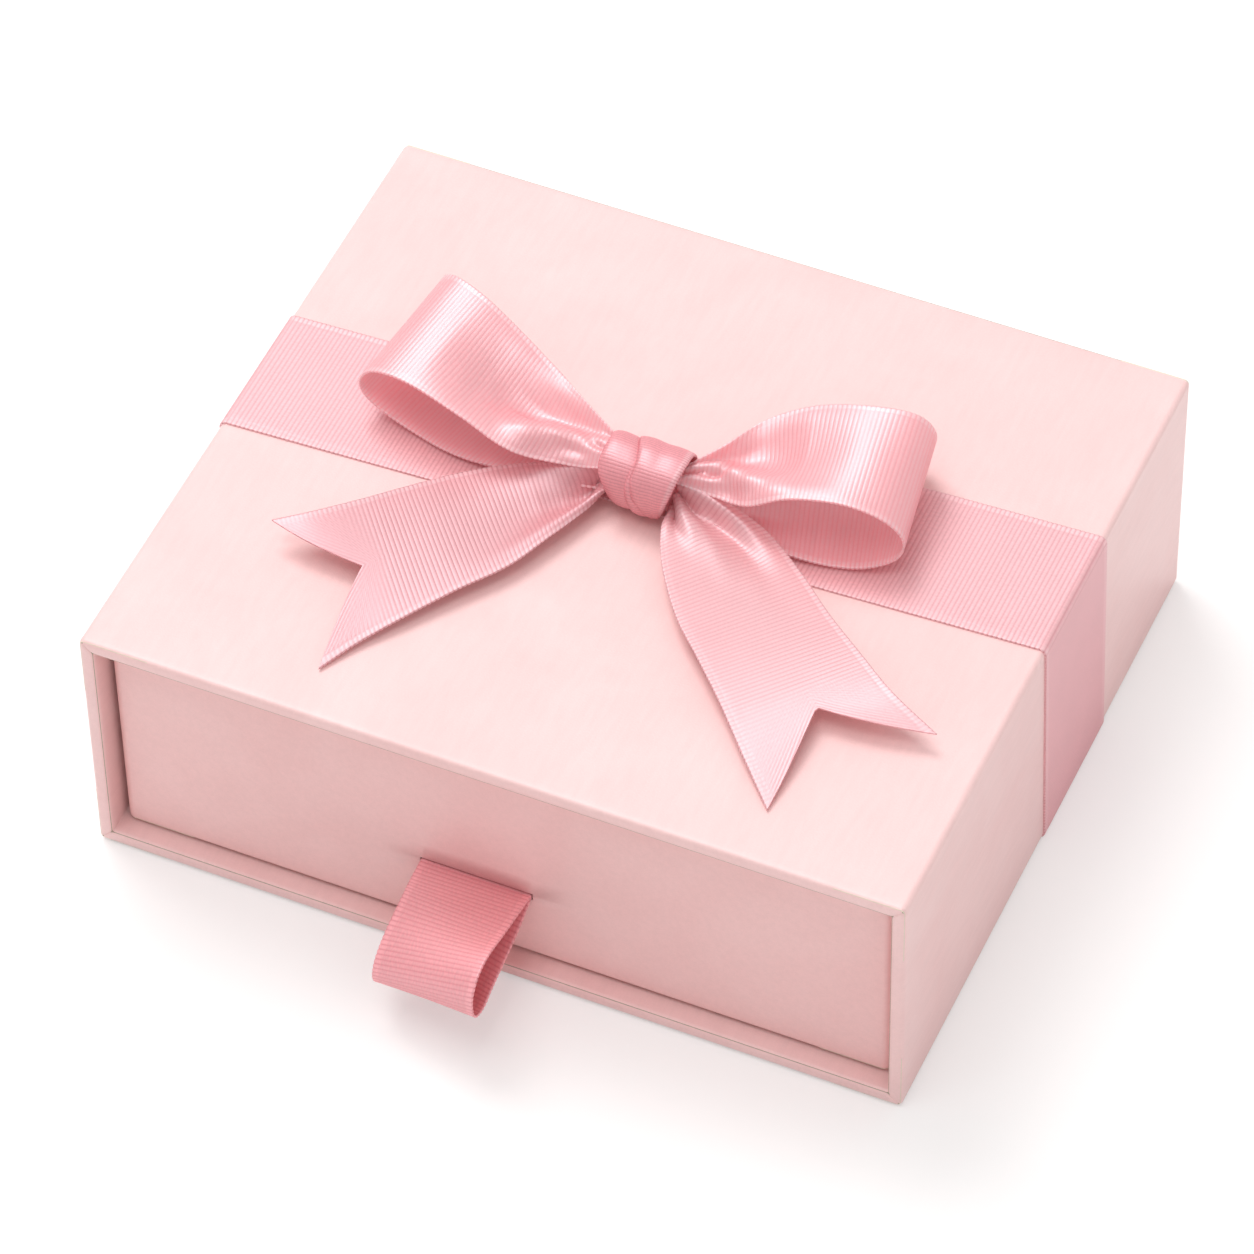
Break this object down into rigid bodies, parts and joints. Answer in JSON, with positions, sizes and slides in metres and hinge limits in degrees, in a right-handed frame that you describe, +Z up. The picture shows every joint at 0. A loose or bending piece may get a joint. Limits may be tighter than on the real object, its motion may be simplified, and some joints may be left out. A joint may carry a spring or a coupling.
{
  "type": "drawer gift box",
  "caption": "Rigid board gift box: a sleeve with a sliding drawer and ribbon pull loop, tied round with a wide grosgrain ribbon band and a bow with swallow-tail ends.",
  "frame": {"origin": "on the surface the box stands on, under the middle of the sleeve, on the underside of the ribbon band", "axes": "+X to the right along the sleeve's long side, -Y out of the open mouth towards the pull loop, +Z up"},
  "size_m": [0.1406, 0.14, 0.0645],
  "materials": {
    "pearl_paper": "pearlescent pink art paper, soft sheen",
    "greyboard": "matte uncoated greyboard",
    "corner_tape": "matte paper tape",
    "grosgrain_ribbon": "cross-ribbed grosgrain weave with stitched selvedges"
  },
  "bodies": {
    "sleeve": {"sleeve_top_board": "greyboard", "sleeve_bottom_board": "greyboard", "sleeve_left_board": "greyboard", "sleeve_right_board": "greyboard", "sleeve_back_board": "greyboard", "sleeve_corner_tapes": "corner_tape", "sleeve_wrap": "pearl_paper", "sleeve_liner": "pearl_paper", "ribbon_band": "grosgrain_ribbon", "bow_gather": "grosgrain_ribbon", "bow_knot": "grosgrain_ribbon", "bow_loop_left": "grosgrain_ribbon", "bow_loop_right": "grosgrain_ribbon", "bow_tail_left": "grosgrain_ribbon", "bow_tail_right": "grosgrain_ribbon"},
    "drawer": {"drawer_base_board": "greyboard", "drawer_front_board": "greyboard", "drawer_back_board": "greyboard", "drawer_left_board": "greyboard", "drawer_right_board": "greyboard", "drawer_corner_tapes": "corner_tape", "drawer_wrap": "pearl_paper", "drawer_liner": "pearl_paper", "pull_tab_anchor": "grosgrain_ribbon"},
    "pull_tab": {"pull_tab_loop": "grosgrain_ribbon"}
  },
  "joints": [
    {"name": "drawer_slide", "type": "slide", "parent": "sleeve", "child": "drawer", "axis": [0, -1, 0], "range_m": [0, 0.118]},
    {"name": "pull_tab_lift", "type": "hinge", "parent": "drawer", "child": "pull_tab", "pos_m": [-0.004, -0.057, 0.01735], "axis": [-1, 0, 0], "range_deg": [-15, 45], "stiffness_Nm_per_rad": 0.002}
  ]
}
